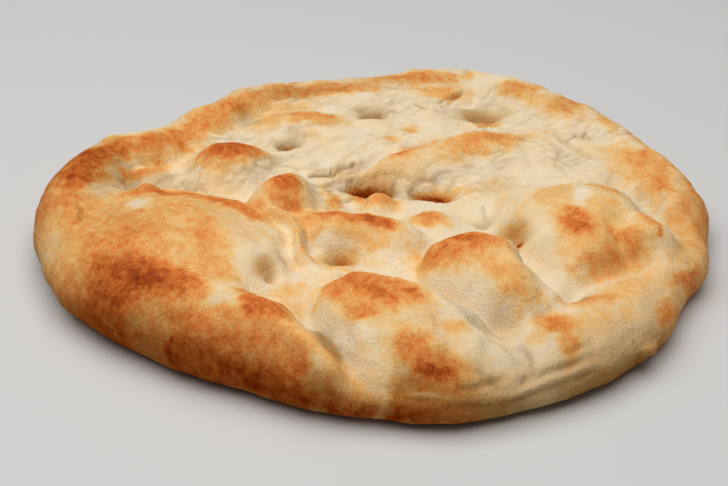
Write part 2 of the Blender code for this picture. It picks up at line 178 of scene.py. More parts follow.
# Raised strings and cut lines along a path of (x, y): one with a depth below zero stands proud.
Line = namedtuple("Line", "depth half_width path")
LINES = [Line(*row) for row in (
    # strings left of the middle
    (-1.0, 1.7, [(-29, 4), (-25, -2), (-20, -19)]),
    (-1.0, 1.7, [(-20, 4), (-15, -4), (-12, -16)]),
    (-0.8, 1.5, [(-10, 6), (-7, -12)]),
    # wrinkles and cracks of the far rim
    (2.2, 1.2, [(35, 89), (39, 97), (44, 106), (50, 117)]),
    (-1.2, 1.4, [(24, 81), (35, 85), (48, 87)]),
    (2.0, 1.4, [(45, 88), (56, 95), (70, 100)]),
    (1.4, 1.2, [(22, 92), (30, 97), (37, 98)]),
    (1.4, 1.3, [(66, 86), (78, 84), (88, 76)]),
    (2.0, 0.8, [(23, 93), (28, 87), (33, 83)]),
    (2.2, 0.8, [(35, 99), (41, 105), (48, 114)]),
    (1.6, 0.8, [(36, 86), (37, 99)]),
    # folds of the far right
    (1.8, 0.9, [(94, 53), (98, 55), (104, 60)]),
    (2.4, 1.6, [(90, 66), (92, 54), (97, 44), (104, 37), (113, 34)]),
    (-1.4, 1.8, [(94, 68), (97, 57), (102, 48), (110, 43)]),
    (1.8, 1.4, [(98, 67), (102, 57), (108, 51)]),
    # plateau behind the middle
    (1.1, 1.8, [(-28, 26), (-18, 25), (-10, 31), (-4, 42)]),
    (0.9, 1.6, [(-22, 38), (-12, 40), (-6, 50)]),
    (0.9, 1.6, [(-32, 33), (-24, 44), (-14, 50), (2, 54)]),
    (0.9, 1.6, [(-19, 8), (-16, 0), (-14, -8)]),
    (1.6, 1.1, [(-28, 17), (-20, 20), (-14, 24), (-8, 27)]),
    # collar at the foot of the left pillow, and the plateau's lip
    (-0.6, 1.4, [(-47, -23), (-39, -33), (-33, -39), (-31, -49), (-30, -58)]),
    (-1.2, 2.2, [(-32, -48), (-30, -59), (-25, -62), (-19, -63), (-14, -67), (-9, -70)]),
    (0.9, 1.6, [(-37, -28), (-31, -36), (-27, -46), (-26, -57), (-20, -60)]),
    (-1.2, 2.2, [(-30, 19), (-22, 22), (-15, 27), (-10, 33)]),
    # ridges of the left pillow and of the near lobe
    (-0.8, 1.4, [(-94, -8), (-84, -8), (-74, -11), (-64, -18), (-52, -28)]),
    (-1.0, 1.8, [(16, -101), (25, -108), (33, -115), (41, -122), (48, -128), (53, -132)]),
    (1.6, 2.0, [(22, -100), (30, -107), (38, -113), (45, -119), (52, -126)]),
)]

# Wrinkles and folds of the edge, which are Lines along a path of (x, y, z).
SEAMS = [Line(*row) for row in (
    # near side, right of the seam
    (-0.8, 1.2, [(12, -148, 16), (18, -150, 16), (24, -150, 16)]),
    (-1.7, 1.5, [(48, -147, 13), (54, -145, 14), (57, -143, 15), (62, -141, 16),
                 (68, -138, 17), (74, -135, 17), (83, -128, 17)]),
    (2.4, 2.0, [(58, -140, 17), (66, -137, 18), (74, -132, 18), (84, -126, 18)]),
    (1.8, 1.8, [(46, -148, 10), (55, -145, 11), (63, -142, 12), (74, -136, 13), (84, -129, 12)]),
    (1.6, 1.4, [(29, -148, 17), (37, -146, 17), (42, -144, 18), (49, -141, 18)]),
    (1.4, 1.5, [(24, -152, 12), (34, -151, 12), (44, -149, 10)]),
    (2.0, 1.4, [(53, -143, 12), (54, -142, 5)]),
    (2.0, 1.5, [(38, -140, 20), (42, -142, 17), (46, -145, 15)]),
    (1.8, 1.6, [(54, -122, 19), (57, -129, 18), (58, -136, 16), (54, -142, 15)]),
    # right side
    (1.3, 1.6, [(88, -122, 14), (95, -117, 12), (101, -113, 8)]),
    (1.2, 1.5, [(70, -128, 19), (77, -124, 20), (84, -119, 19)]),
    (1.3, 1.4, [(130, -58, 18), (133, -62, 13), (135, -62, 9)]),
    (-3.2, 4.5, [(106, -110, 13), (107, -111, 8)]),
    (1.6, 1.4, [(99, -113, 16), (101, -114, 10), (102, -114, 5)]),
    # left side
    (1.2, 1.2, [(-126, -29, 31), (-123, -38, 31), (-123, -45, 30)]),
    (1.1, 1.2, [(-130, 8, 33), (-126, 14, 34), (-120, 17, 34)]),
)]
SEAM_END_DEPTH = 0.1      # share of a seam's depth that is left at its ends

# ---- unevenness of the skin, millimetres ----

# Random unevenness: a bump's size along x, y and z, the number of ever finer sets, and their strength.
Layer = namedtuple("Layer", "seed size octaves strength")
SKIN = Layer(11, (13.0, 13.0, 13.0), 2, 0.65)
CONTOURS = Layer(12, (12.0, 12.0, 3.0), 2, 0.32)
GRAIN = Layer(13, (3.2, 3.2, 3.2), 2, 0.13)
BROWN_TONES = (0.3, 0.6)       # tones between which dough turns to brown crust, which has no contours
BROWN_WRINKLES = 0.7           # and this share of each wrinkle is missing from it

# Winding wrinkles in the dough: they run where slow noise passes through zero.
Wrinkles = namedtuple("Wrinkles", "seed turn long wide sharpness depth")
WRINKLES = [Wrinkles(41, 35, 17.0, 8.0, 0.16, 0.9), Wrinkles(42, -20, 11.0, 6.0, 0.18, 0.55)]
WRINKLES_FADE = (-50.0, 5.0)   # there are none nearer than this, and all of them farther away
WRINKLED_SIZE = 26.0           # size of the places that have them
WRINKLED_NOISE = (-0.35, 0.45)   # noise at which they start, and at which they are full
WRINKLED_SEED = 50             # added to their own seed

NOISE_SLOPES = 256    # random slopes that the noise is made of
NOISE_GAIN = 1.7      # brings it to about -1 to 1
OCTAVE_SEEDS = 100    # from one set of bumps to the next finer one

# ---- fineness of the mesh ----

TOP_CELLS = 290       # grid cells across the top
EDGE_RINGS = 10       # rings of faces from the widest line down to the base
EDGE_ARC = 1.45       # length of the rounded edge along its surface, for each unit of its width
BASE_CLEAR = (0.6, 5.0)   # the relief fades out between these heights, so that the base stays flat

# ---- tone ----

# The edge all round: tone of its lower half, tone of its upper half, and how much shade is painted low down.
# Its tones are the crust's brown, made browner in places to paint shade.
Side = namedtuple("Side", "azimuth low high dull")
SIDES = [Side(*row) for row in (
    (0, 0.62, 0.58, 0.45), (20, 0.6, 0.62, 0.5), (45, 0.58, 0.58, 0.8), (75, 0.58, 0.62, 0.6),
    (100, 0.62, 0.68, 0.6), (125, 0.68, 0.76, 0.6), (150, 0.72, 0.78, 0.8), (170, 0.7, 0.76, 0.8),
    (187, 0.66, 0.68, 0.9), (193, 0.5, 0.52, 1.0), (200, 0.38, 0.36, 0.9), (208, 0.62, 0.5, 0.8),
    (217, 0.74, 0.58, 1.1), (229, 0.72, 0.58, 1.6), (240, 0.9, 0.7, 1.6), (251, 0.98, 0.8, 1.6),
    (258, 1.0, 0.78, 1.4), (263, 1.0, 0.56, 2.0), (267, 1.0, 0.34, 0.7), (271, 0.96, 0.32, 0.7),
    (275, 0.94, 0.6, 2.4), (281, 0.64, 0.52, 1.8), (287, 0.42, 0.32, 1.1), (292, 0.28, 0.22, 0.6),
    (303, 0.42, 0.26, 1.2), (313, 0.5, 0.28, 1.0), (322, 0.5, 0.3, 0.4), (334, 0.56, 0.36, 0.1),
    (348, 0.66, 0.56, 0.5),
)]
SIDE_TURN = (0.35, 1.7)   # heights, as shares of the widest line's, between which low turns to high

# Painted over each other in this order: an ellipse's centre, half length, half width, turn and tone.
Patch = namedtuple("Patch", "x y long wide turn tone")
# Painted along a path of (x, y).
Stroke = namedtuple("Stroke", "half_width tone path")
# Besides browning, some rows paint shade in pits and grooves, pale light on shaded flanks, and highlights.
PATCHES = [Patch(*row) for row in (
    # west lobe
    (-92, -50, 50, 44, -20, 0.5), (-130, -26, 30, 11, -81, 0.6), (-134, -57, 19, 5, -66, 0.2),
    (-125, 2, 16, 7, 67, 0.6), (-106, -64, 18, 14, -50, 0.62), (-105, -84, 15, 8, -40, 0.8),
    (-98, -71, 17, 14, 31, 0.6), (-113, -52, 10, 7, -88, 0.52), (-72, -60, 16, 10, -45, 0.44),
    (-64, -56, 9, 5, -66, 0.5), (-76, -45, 7, 5, -56, 0.52), (-78, -97, 18, 9, -30, 0.74),
    (-92, -91, 22, 9, -27, 0.84), (-96, -90, 15, 6, -28, 0.95), (-75, -112, 12, 3, -34, 0.54),
    (-96, -102, 17, 6, -42, 0.64), (-64, -26, 18, 6, -28, 0.7), (-58, -30, 10, 4, -28, 0.78),
    (-46, -26, 6, 3, 73, 0.56), (-60, -24, 7, 5, -74, 0.66), (-60, -97, 7, 4, -88, 0.5),
    (-96, -17, 15, 6, -3, 0.62), (-90, -14, 10, 4, 8, 0.72), (-47, -72, 18, 9, 66, 0.15),
    (-67, -71, 21, 8, -80, 0.5), (-62, -87, 8, 6, -60, 0.57), (-55, -51, 15, 9, -78, 0.32),
    (-44, -77, 6, 3, 67, 0.36), (-99, -35, 7, 4, -66, 0.02), (-56, -107, 9, 5, -81, 0.22),
    (-33, -87, 7, 4, 39, 0.42), (-32, -97, 8, 5, -50, 0.36), (-69, -62, 8, 5, -87, 0.6),
    (-100, -74, 9, 5, -61, 0.68),
    # northwest and far rim
    (-130, -3, 17, 8, -65, 0.78), (-115, 20, 16, 7, 39, 0.78), (-95, 40, 20, 8, 59, 0.7),
    (-98, 30, 7, 3, 39, 0.6), (-112, 14, 12, 4, 48, 0.26), (-127, 14, 8, 5, -62, 0.8),
    (-133, 3, 9, 5, -80, 0.84), (-131, 18, 4, 3, -74, 0.92), (-103, 15, 13, 1.6, 18, 0.58),
    (-118, -10, 11, 6, 58, 0.26), (-88, 20, 12, 6, -73, 0.12), (-70, 3, 8, 5, -18, 0.24),
    (-81, 69, 21, 8, 66, 0.66), (-69, 87, 6, 5, 69, 0.66), (-75, 78, 14, 5, 60, 0.62),
    (-63, 91, 11, 4, 37, 0.72), (-53, 100, 18, 5, 34, 0.56), (-24, 112, 24, 6, 10, 0.6),
    (24, 126, 22, 5, 5, 0.62), (36, 110, 16, 9, -10, 0.5), (72, 113, 7, 3, -31, 0.45),
    (90, 92, 24, 8, -48, 0.42), (99, 91, 8, 4, -80, 0.62), (77, 112, 8, 4, -50, 0.58),
    (116, 67, 10, 4, -83, 0.45),
    # far mounds
    (-65, 24, 14, 9, 0, 0.58), (-64, 21, 12, 7, 3, 0.86), (-48, 16, 8, 4, 60, 0.06),
    (-70, 10, 6, 4, -37, 0.46), (-49, 74, 13, 9, 40, 0.46), (-44, 90, 16, 8, 20, 0.38),
    (-28, 71, 14, 6, -5, 0.62), (-40, 50, 3, 2, 38, 0.5), (-28, 53, 8, 4, -46, 0.24),
    # north roll and the dough beyond it
    (16, 29, 9, 5, 60, 0.56), (14, 28, 5, 2.5, 60, 0.76), (24, 40, 8, 5, 45, 0.54),
    (56, 41, 26, 9, 30, 0.54), (53, 40, 12, 4, 34, 0.66), (54, 82, 9, 6, 40, 0.38),
    (59, 83, 4, 2, 9, 0.52), (19, 61, 5, 4, 86, 0.5), (10, 53, 4, 3.5, 0, 0.44),
    (81, 40, 18, 10, 67, 0.14), (109, 42, 7, 5, 12, 0.34), (134, 20, 7, 3, 78, 0.62),
    (56, 5, 9, 7, -51, 0.28), (57, 70, 6, 2, 15, 0.62), (98, 91, 10, 7, 57, 0.54),
    (55, 82, 12, 5, 20, 0.36), (77, 111, 10, 4, 7, 0.56), (99, 39, 14, 8, -65, 0.06),
    # middle
    (-35, -17, 9, 10, 27, 0.58), (-38, -12, 7, 6, -14, 0.8), (-35, -23, 8, 4, 26, 0.66),
    (-22, 4, 11, 3, -89, 0.3), (-17, -4, 7, 3, -88, 0.6), (-5, -1, 6, 3, -53, 0.62),
    (-27, -13, 9, 3, 80, 0.24), (-14, -37, 20, 6, -22, 0.6), (0, -41, 9, 4.5, -5, 0.86),
    (-17, -34, 9, 4, -20, 0.74), (-28, -39, 6, 4, 50, 0.44), (-24, -48, 7, 5, 60, 0.08),
    (0, -50, 7, 5, -18, 0.48), (25, -28, 8, 5, -30, 0.6), (22, -28, 5, 3, -73, 0.72),
    (1, 17, 20, 5, -6, 0.36), (36, 6, 10, 4, -20, 0.38), (3, -7, 7, 6, -8, 0.58),
    (-13, -56, 7, 4, 0, 0.46), (-22, -41, 8, 3, 10, 0.46), (-8, -46, 8, 3, -10, 0.44),
    (4, -5, 8, 2, -5, 0.55), (61, -44, 8, 5, -64, 0.36),
    # south
    (-1, -102, 21, 10, -42, 0.62), (-9, -95, 11, 6, -50, 0.74), (2, -108, 11, 6, -40, 0.78),
    (14, -107, 8, 4, -40, 0.72), (-12, -101, 9, 4, -63, 0.68), (-4, -97, 6, 3, -63, 0.62),
    (-4, -115, 7, 4, -60, 0.54), (-6, -129, 15, 6, -62, 0.06), (-7, -112, 8, 5, -70, 0.58),
    (-18, -124, 10, 2.5, -62, 0.3), (-4, -118, 6, 3.5, -40, 0.74), (8, -59, 8, 5, 0, 0.06),
    (1, -60, 6, 3, -21, 0.28), (15, -53, 5, 4, 64, 0.08), (19, -134, 18, 14, -20, 0.35),
    (14, -133, 7, 5, -6, 0.66), (32, -122, 5, 3, 2, 0.58), (38, -135, 4, 3, 30, 0.62),
    (44, -124, 19, 6, 58, 0.12),
    # heart
    (35, -70, 19, 10, -44, 0.6), (25, -73, 9, 4, -70, 0.68), (40, -70, 12, 6, -30, 0.82),
    (33, -76, 6, 4, -71, 0.68), (54, -89, 13, 6, -60, 0.38), (51, -92, 12, 5, -40, 0.5),
    (56, -99, 8, 2.5, 4, 0.6), (61, -98, 6, 3, 27, 0.4), (55, -105, 3, 2.5, -69, 0.46),
    (45, -113, 12, 6, 49, 0.1),
    # east
    (91, -42, 28, 25, -65, 0.42), (85, -48, 10, 7, -82, 0.76), (86, -50, 5, 4, -60, 0.84),
    (104, -51, 6, 4, -15, 0.64), (98, -63, 16, 5, 28, 0.6), (117, -45, 5, 2.5, -80, 0.62),
    (122, -51, 5, 4, 75, 0.22), (70, -50, 16, 5, -86, 0.14), (80, -62, 5, 4, -60, 0.42),
    (78, -20, 11, 8, 55, 0.44), (104, -18, 9, 5, -72, 0.46), (90, -24, 9, 3.5, 81, 0.0),
    (58, -12, 10, 5, -89, 0.26), (116, -38, 6, 3, -82, 0.6),
    # east and southeast rim
    (106, -88, 39, 11, 50, 0.38), (126, 21, 25, 10, -70, 0.46), (122, 33, 8, 4, -61, 0.58),
    (131, 6, 11, 4, -79, 0.64), (130, 27, 10, 5, -66, 0.56), (127, -6, 8, 4, 80, 0.36),
    (113, 25, 8, 4, 73, 0.42), (101, 42, 7, 4, 72, 0.22), (134, -46, 25, 6, 71, 0.44),
    (132, -22, 11, 5, 80, 0.48), (100, -84, 12, 5, 30, 0.44), (86, -94, 10, 4, 10, 0.56),
    (98, -104, 3, 2.5, 73, 0.58), (84, -109, 11, 7, 65, 0.38), (62, -119, 7, 4, 66, 0.36),
    (70, -109, 7, 5, -20, 0.72), (73, -120, 5, 3, 65, 0.56),
)]

# Patches that are painted over the edge as well: partly the crust's brown and partly painted shade.
EDGE_PATCHES = [Patch(*row) for row in (
    # west lobe
    (-104, -92, 17, 7, -42, 0.82), (-119, -77, 8, 5, -60, 0.54),
    # southwest roll
    (-63, -120, 13, 5, -32, 0.72), (-52, -121, 7, 3, -23, 0.56), (-41, -131, 14, 3, -25, 0.56),
    (-40, -113, 13, 7, -55, 0.78), (-45, -117, 6, 4, -59, 0.84), (-32, -131, 8, 4, -28, 0.7),
    (-45, -127, 13, 5, -22, 0.7), (-68, -122, 5, 2.5, -35, 0.74), (-31, -138, 9, 4, -29, 0.74),
    (-54, -118, 6, 3, -16, 0.68), (-52, -122, 6, 2.5, -18, 0.6), (-40, -125, 7, 2, -14, 0.58),
    (-30, -132, 7, 2.5, -31, 0.62), (-38, -133, 6, 2, -24, 0.58), (-84, -110, 9, 3, -34, 0.56),
    (-18, -138, 7, 4, 58, 0.3), (-77, -118, 1.4, 1.2, 0, 0.92), (-1, -140, 12, 2.5, -66, 0.3),
    (-19, -134, 15, 5, -42, 0.46),
    # south
    (23, -141, 9, 5, -5, 0.8), (22, -142, 6, 3, 0, 0.9), (24, -136, 6, 3, 0, 0.62),
    (20, -148, 12, 3, -2, 0.56), (18, -149.3, 6, 0.4, -6, 0.26),
    # southeast
    (74, -123, 6, 3, 78, 0.62), (129, -68, 11, 3, 52, 0.7), (116, -93, 9, 3, 58, 0.62),
    (139, -11, 14, 4, 70, 0.56), (124, -78, 8, 3, 57, 0.4),
)]

# Dark patches at the bottom of the hole in the middle, partly brown crust and partly painted shade: they fade
# out between two heights.
DEEP_PATCHES = [Patch(-1, 11, 9, 5, 3, 1.0), Patch(29, 4, 11, 4, -28, 0.9)]
DEEP_HEIGHTS = (14.5, 19.5)

# Thin lines of painted shade, such as the shade under a lip: a stroke's tone is how much shade.
PAINTED_SHADE_STROKES = [Stroke(*row) for row in (
    (0.6, 0.8, [(-29, 17), (-24, 19), (-20, 20), (-17, 22), (-14, 24), (-11, 25), (-8, 27)]),
    (1.2, 0.6, [(-133, 16), (-130, 18), (-127, 17)]),
    (1.0, 0.55, [(-126, 13), (-123, 11), (-120, 12)]),
    (0.7, 0.6, [(-125, -31), (-124, -38), (-122, -45)]),
    (0.7, 0.5, [(-127, -25), (-125, -31), (-122, -36)]),
    (0.8, 0.45, [(49, -13), (49, -20), (50, -26)]),
    (0.7, 0.5, [(23, 93), (28, 87), (33, 83)]),
    (0.7, 0.5, [(35, 99), (41, 105), (48, 114)]),
    (0.7, 0.4, [(94, 53), (98, 55), (104, 60)]),
)]

# Patches of painted shade: the tone is how much shade, and below zero it takes away the painted shade of
# creases and of the side.
PAINTED_SHADE_PATCHES = [Patch(*row) for row in (
    (42, -114, 10, 6, 50, 0.12), (-13, -57, 6, 4, 0, 0.2), (61, -44, 8, 5, -64, 0.45),
    (48, -27, 4, 3, 0, 0.35), (80, -90, 5, 4, 0, 0.5), (72, -76, 7, 4, -60, 0.12),
    (71, -93, 8, 4, -40, -0.15), (-44, -77, 6, 3.4, 67, 0.35), (-18, -124, 10, 3, -62, 0.75),
    (-4, -130, 15, 5, -62, -0.35), (-14, 28, 11, 4, 30, -0.25), (-41, 52, 6, 4, 20, 0.36),
    (-62, 81, 11, 5, -59, 0.42), (0, 87, 8, 5, 0, 0.35), (51, 84, 12, 6, 20, 0.55),
    (56, 4, 9, 7, -51, 0.25), (73, -62, 8, 5, -80, 0.2), (95, 92, 11, 9, 57, 0.15),
    (72, 112, 14, 7, 7, 0.1), (-36, 108, 30, 6, 18, 0.42), (10, 122, 30, 6, 4, 0.22),
    (-128, 6, 20, 13, -80, 0.55), (-102, -90, 20, 11, -42, 0.35), (-65, -120, 18, 6, -30, 0.22),
    (-44, -127, 14, 4, -22, 0.2), (-16, -139, 6, 4, 63, -0.3), (-4, -141, 6, 4, -36, -0.4),
    (-94, -97, 22, 9, -38, 0.42), (-104, -46, 24, 22, 0, 0.24), (-134, 3, 10, 6, -83, 0.35),
    (-74, -40, 22, 14, -30, 0.1), (-136, -20, 18, 8, 80, 0.18), (62, -1, 12, 6, 87, 0.14),
    (36, 72, 9, 6, 55, 0.12), (61, 97, 6, 5, -64, 0.12), (-98, 30, 7, 4, 39, -0.2),
)]

# Thin strokes, painted over the patches of the top.
STROKES = [Stroke(*row) for row in (
    (3.2, 0.72, [(-101, -19), (-96, -17), (-88, -15), (-80, -15), (-72, -18), (-65, -25), (-59, -29),
                 (-53, -34), (-49, -38)]),
    (1.2, 0.42, [(-47, -23), (-43, -29), (-39, -33), (-33, -39), (-31, -48), (-29, -60)]),
    (2.0, 0.38, [(-31, -54), (-28, -61), (-20, -63), (-14, -67), (-8, -70)]),
    (1.3, 0.62, [(-113, 11), (-106, 14), (-95, 18)]),
    (1.0, 0.66, [(93, -15), (98, -14), (102, -16), (109, -15)]),
    (1.0, 0.95, [(61, -50), (61.5, -50)]),
    (1.0, 0.7, [(120, -36), (120, -44), (119, -53)]),
)]

# Lengths here are shares of a patch's size, or of a stroke's half width.
PATCH_SOFTNESS = 0.7      # how far a patch fades, inwards and outwards
PATCH_FRAY = 0.36         # how far noise moves its edge
PATCH_FRAY_SIZE = 5.0     # size of that noise, millimetres
PATCH_REACH = 4.0         # there is no such noise farther out
HALO_FROM = 0.5           # a patch browner than this has a golden halo
HALO_TONE = 0.4
HALO_SPAN = (0.8, 2.0)    # where the halo starts to fade and where it ends
HALO_COVER = 0.8
STROKE_SOFTNESS = 0.6
STROKE_FRAY = 0.5
STROKE_FRAY_SIZE = 4.0
STROKE_REACH = 3
# Seed of the first patch or stroke in a table: the next one's is one higher.
PATCH_SEED, DEEP_SEED, STROKE_SEED, EDGE_SEED, PAINTED_SHADE_SEED, SHADE_STROKE_SEED = 500, 600, 700, 800, 900, 950

# Before any patch: dough is browner where it stands above the dough around it.
BASE_TONE = 0.07
RAISED_TONE = 0.28        # how much browner
RAISED = (-1, 8)          # height above it that makes none of that difference, and all of it
AROUND_STEP = 3.0         # grid on which the dough's height is averaged
AROUND_CELLS = 8          # how many of its cells count each way
AROUND_BELL = 11.0        # how far away dough counts
AROUND_INSET = 8          # and how near to the outline
AROUND_REACH = 170.0      # half the grid's side
TINY = 1e-6               # keeps the average defined where no dough counts

CLOUDS = Layer(34, (13.0, 13.0, 13.0), 3, 0.10)
SPECKS = Layer(32, (6.0, 6.0, 6.0), 3, 0.07)
SPECK_TONES = (0.1, 0.5)     # tones between which the specks come in
STREAKS = Layer(33, (10.0, 3.0, 4.5), 3, 0.07)
STREAK_TONES = (0.25, 0.5)
STREAK_WAY = (0.57, 0.82)    # cosine and sine of their turn
SIDE_FRAY = Layer(31, (9.0, 9.0, 9.0), 3, 3.0)
SIDE_INSETS = (3, 16)     # distances from the outline between which the side gives way to the top

# The crust's colour for each tone, as linear red, and green and blue as shares of it.
Stop = namedtuple("Stop", "tone red green blue")
CRUST = [Stop(*row) for row in (
    (0.0, 0.8, 0.84, 0.61), (0.15, 0.82, 0.78, 0.49), (0.3, 0.82, 0.69, 0.34),
    (0.45, 0.82, 0.56, 0.19), (0.6, 0.78, 0.41, 0.105), (0.75, 0.7, 0.275, 0.045),
    (0.9, 0.47, 0.18, 0.018), (1.0, 0.34, 0.15, 0.006),
)]

SHADE_AND_BLISTER_COLOUR = (0.45, 0.37, 0.27)     # what the crust's colour is multiplied by where painted shade and blisters darken it
PAINTED_SHADE_STRENGTH = 0.9        # how much of that the crust has at full painted shade
BLISTER_SHADE = 0.45      # and how much a blister on the brownest crust
SHEEN = 0.15              # specular level, falling to none where the painted shade is full
PIT_DEPTH = 13.0          # a finger mark this deep has full painted shade
PIT_SHADE_TONE = 0.35           # and this much browner, as painted shade
CREASE_DEPTH = 22.0       # so has a crease this deep
CUT_DEPTH = 5.0           # and a line or seam this deep
WRINKLE_SHADE = 0.4        # painted shade for each millimetre of a wrinkle
DEEP_SHADE = 0.6           # painted shade at the bottom of the hole
LOW_HEIGHTS = (5.0, 30.0)    # a Side's painted shade fades out between these heights
LOW_INSETS = (8.0, 40.0)     # and between these distances from the outline

# Noise in the finish: bumps to a metre, finer detail, and how strong the detail is.
Speckle = namedtuple("Speckle", "scale detail roughness")
MOTTLE = Speckle(360.0, 2.5, 0.55)
BLISTERS = Speckle(900.0, 2.0, 0.6)
PORES = Speckle(700.0, 3.0, 0.6)
PORE_STRENGTH = 0.5
PORE_DEPTH = 0.0012       # metres

# From one range of values to another.
Span = namedtuple("Span", "low high to_low to_high")
MOTTLE_BY_TONE = Span(0.15, 0.7, 0.12, 0.46)
BLISTER_BY_NOISE = Span(0.46, 0.64, 0.0, 1.0)
ROUGHNESS_BY_TONE = Span(0.3, 0.9, 0.80, 0.62)

# ---- floor, light and camera, metres ----

FLOOR_SIZE = 8.0
FLOOR_COLOUR = (0.60, 0.59, 0.575, 1.0)
FLOOR_ROUGHNESS = 0.8
KEY_PLACE = (-0.15, -0.05, 1.15)
KEY_SIZE = 1.6
KEY_POWER = 20            # watts
WORLD_COLOUR = (1.0, 1.0, 1.0, 1.0)
WORLD_STRENGTH = 0.13
CAMERA_TARGET = (-0.0034, -0.034, 0.0146)   # in the loaf's own frame
CAMERA_ELEVATION = 29.0   # degrees
CAMERA_DISTANCE = 0.6094
CAMERA_LENS = 70.0        # millimetres, with Blender's own 36 mm sensor


# ---- the loaf's forms ----

def ease(value, low, high):
    """0 below low, 1 above high, and smooth between."""
    part = np.clip((value - low) / (high - low), 0, 1)
    return part * part * (3 - 2 * part)


def along_rim(table, azimuth, field):
    """A table's field at each azimuth, eased from one row to the next and closed round the loaf."""
    knots = np.array([row.azimuth for row in table], float)
    values = np.array([getattr(row, field) for row in table], float)
    knots = np.concatenate([[knots[-1] - 360], knots, [knots[0] + 360]])
    values = np.concatenate([values[-1:], values, values[:1]])
    azimuth = np.mod(azimuth, 360)
    low = np.clip(np.searchsorted(knots, azimuth, side="right") - 1, 0, len(knots) - 2)
    part = ease(azimuth, knots[low], knots[low + 1])
    return values[low] * (1 - part) + values[low + 1] * part


def outline(azimuth):
    """Radius of the plan: a closed Catmull-Rom curve through OUTLINE."""
    radii = np.array(OUTLINE, float)
    count = len(radii)
    place = np.mod(azimuth, 360) / 360 * count
    step = np.floor(place).astype(int)
    part = place - step
    a, b, c, d = (radii[(step + k) % count] for k in (-1, 0, 1, 2))
    return b + 0.5 * part * (c - a + part * (2 * a - 5 * b + 4 * c - d
                                             + part * (3 * (b - c) + d - a)))


def waves(x, y, longest_shortest, seed):
    """A slow unevenness: plane waves with seeded directions, from the longest to the shortest."""
    longest, shortest = longest_shortest
    draw = np.random.RandomState(seed)
    total = np.zeros_like(x)
    for k in range(WAVE_COUNT):
        length = longest * (shortest / longest) ** (k / (WAVE_COUNT - 1))
        way, phase = draw.uniform(0, 2 * pi, 2)
        wave = np.sin(2 * pi / length * (x * cos(way) + y * sin(way)) + phase)
        total += wave * (length / longest) ** 0.5
    return total


def swell(distance, fullness):
    """1 at the middle, 0 at distance 1, and falling steadily outside."""
    return np.where(distance < 1, 1 - distance ** fullness, (1 - distance) * fullness)


def turned(x, y, turn):
    """Distances along and across an axis at some azimuth."""
    turn = radians(turn)
    return x * cos(turn) + y * sin(turn), y * cos(turn) - x * sin(turn)


def pillow_height(x, y, pillow):
    """Height of one pillow over the plan."""
    along, across = turned(x - pillow.x, y - pillow.y, pillow.turn)
    along = along / np.where(along > 0, pillow.ahead, pillow.behind)
    across = across / np.where(across > 0, pillow.left, pillow.right)
    return FLOOR + (pillow.height - FLOOR) * swell(np.hypot(along, across), pillow.fullness)


def segments(x, y, path):
    """For each segment of a path: the distance to it, and its rows blended at the nearest point."""
    rows = np.array(path, float)
    for start, end in zip(rows[:-1], rows[1:]):
        run = end[:2] - start[:2]
        part = np.clip(((x - start[0]) * run[0] + (y - start[1]) * run[1]) / (run @ run), 0, 1)
        blend = [start[k] + part * (end[k] - start[k]) for k in range(len(start))]
        yield np.hypot(x - blend[0], y - blend[1]), blend


def roll_height(x, y, roll):
    """Height of one roll over the plan."""
    heights = [FLOOR + (height - FLOOR) * swell(distance / half_width, ROLL_FULLNESS)
               for distance, (_, _, height, half_width) in segments(x, y, roll.path)]
    return np.max(heights, axis=0)


def shares_along(points):
    """How far along a path each of its points is, 0 to 1."""
    lengths = np.linalg.norm(np.diff(points, axis=0), axis=1)
    return np.concatenate([[0], np.cumsum(lengths)]) / lengths.sum()


def fade_at_ends(share, least):
    """1 half way along a path, and falling to its least at both ends."""
    return least + (1 - least) * np.sqrt(np.clip(4 * share * (1 - share), 0, 1))


def crease_depth(x, y, crease):
    """Depth of one crease over the plan, shallow at both ends."""
    points = np.array(crease.path, float)
    path = np.column_stack([points, shares_along(points)])
    depths = [fade_at_ends(share, CREASE_END_DEPTH) * np.exp(-(distance / crease.half_width) ** 2)
              for distance, (_, _, share) in segments(x, y, path)]
    return crease.depth * np.max(depths, axis=0)


def mark_depth(x, y, mark):
    """Depth of one finger mark over the plan."""
    squared = ((x - mark.x) ** 2 + (y - mark.y) ** 2) / mark.radius ** 2
    return mark.depth * np.exp(-MARK_STEEPNESS * squared)


def azimuth_and_inset(x, y):
    """Azimuth of each point, and how far inside the outline it is."""
    azimuth = np.degrees(np.arctan2(y, x))
    return azimuth, outline(azimuth) - np.hypot(x, y)


def rim_height(x, y):
    """Height of the rim over the plan: it falls away faster towards the middle of the loaf."""
    azimuth, inset = azimuth_and_inset(x, y)
    height = along_rim(RIM, azimuth, "height")
    crest = 0.5 * along_rim(RIM, azimuth, "width")
    distance = np.abs(inset - crest) / np.where(inset > crest, crest, RIM_OUTER_REACH * crest)
    return height - np.maximum(height - FLOOR, RIM_LEAST_RISE) * (1 - swell(distance, RIM_FULLNESS))


def ground_height(x, y):
    """Height of the pressed dough over the plan: LEVELS, eased from one to the next."""
    weights = [np.exp(-((x - level.x) ** 2 + (y - level.y) ** 2) / LEVEL_REACH ** 2) for level in LEVELS]
    total = FAR_WEIGHT * FLOOR + sum(weight * level.height for weight, level in zip(weights, LEVELS))
    return total / (FAR_WEIGHT + sum(weights))


def merged(forms, softness):
    """The highest of some forms at each point, with the creases between them filled softly."""
    highest = np.max(forms, axis=0)
    return highest + softness * np.log(sum(np.exp((form - highest) / softness) for form in forms))


